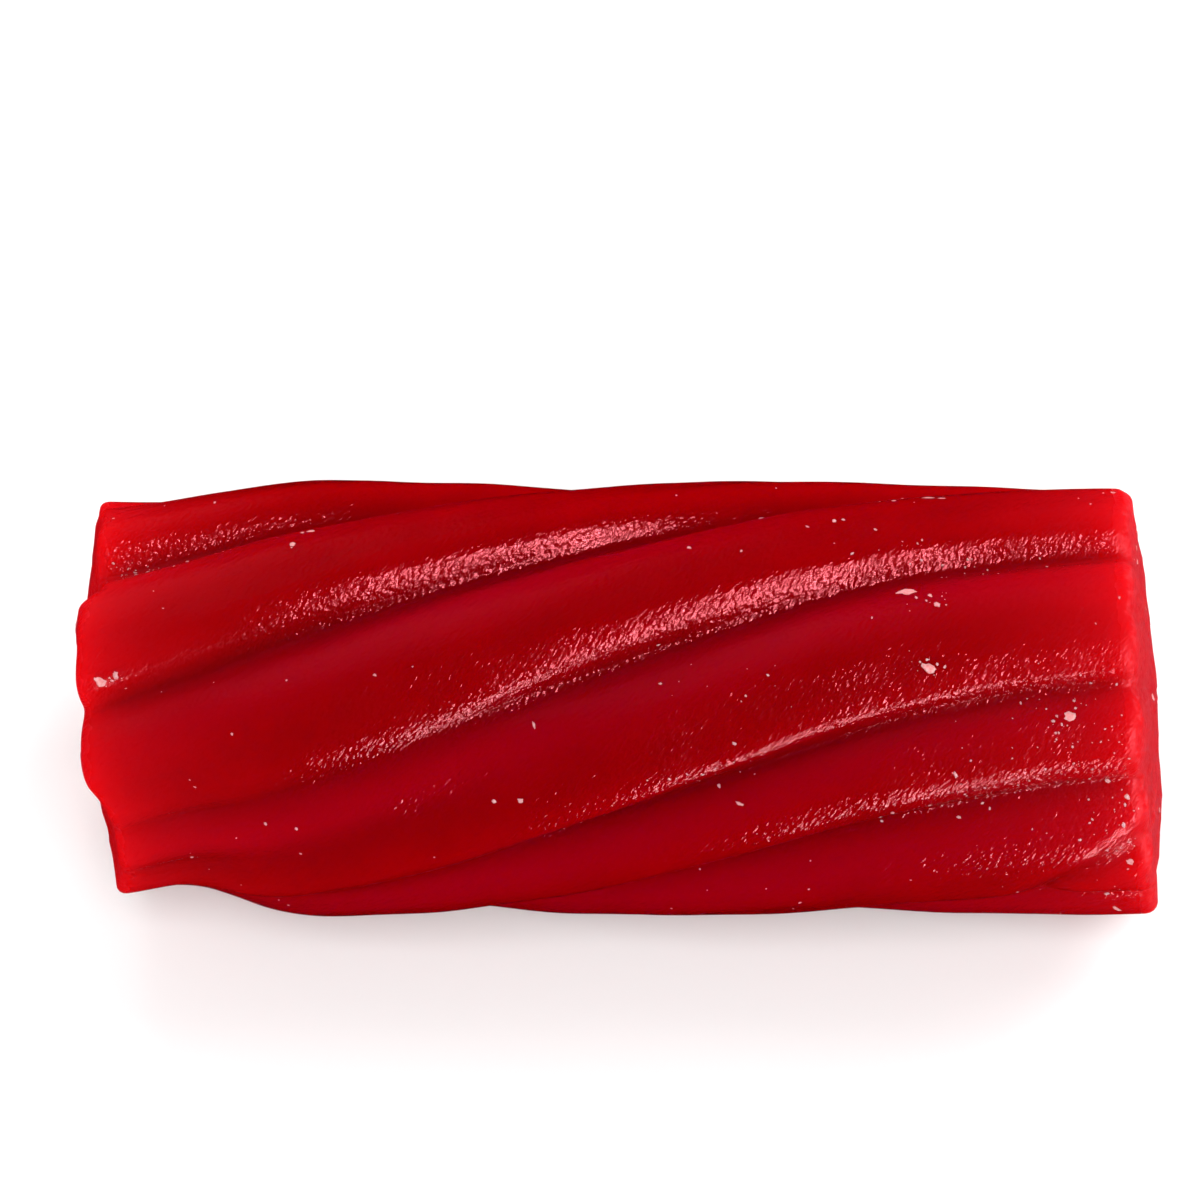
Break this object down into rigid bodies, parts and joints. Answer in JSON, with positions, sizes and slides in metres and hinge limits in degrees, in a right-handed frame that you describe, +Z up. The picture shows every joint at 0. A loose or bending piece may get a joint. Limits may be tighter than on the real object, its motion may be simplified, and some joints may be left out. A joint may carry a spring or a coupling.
{
  "type": "red licorice twist piece",
  "caption": "Short chopped piece of soft red licorice twist lying on its side, with rounded ridges spiralling left-hand round it and plain cut ends; a chewy sweet to eat.",
  "frame": {"origin": "middle of the piece's length and width, at the level of its flattened underside", "axes": "+X along the piece towards the cut where the ridges run straight, +Z up, -Y the side with the best view of the ridges"},
  "size_m": [0.041, 0.0166, 0.0161],
  "materials": {
    "red_licorice": "satin, slightly translucent soft candy"
  },
  "bodies": {
    "root": {"licorice_stick": "red_licorice"}
  },
  "joints": []
}
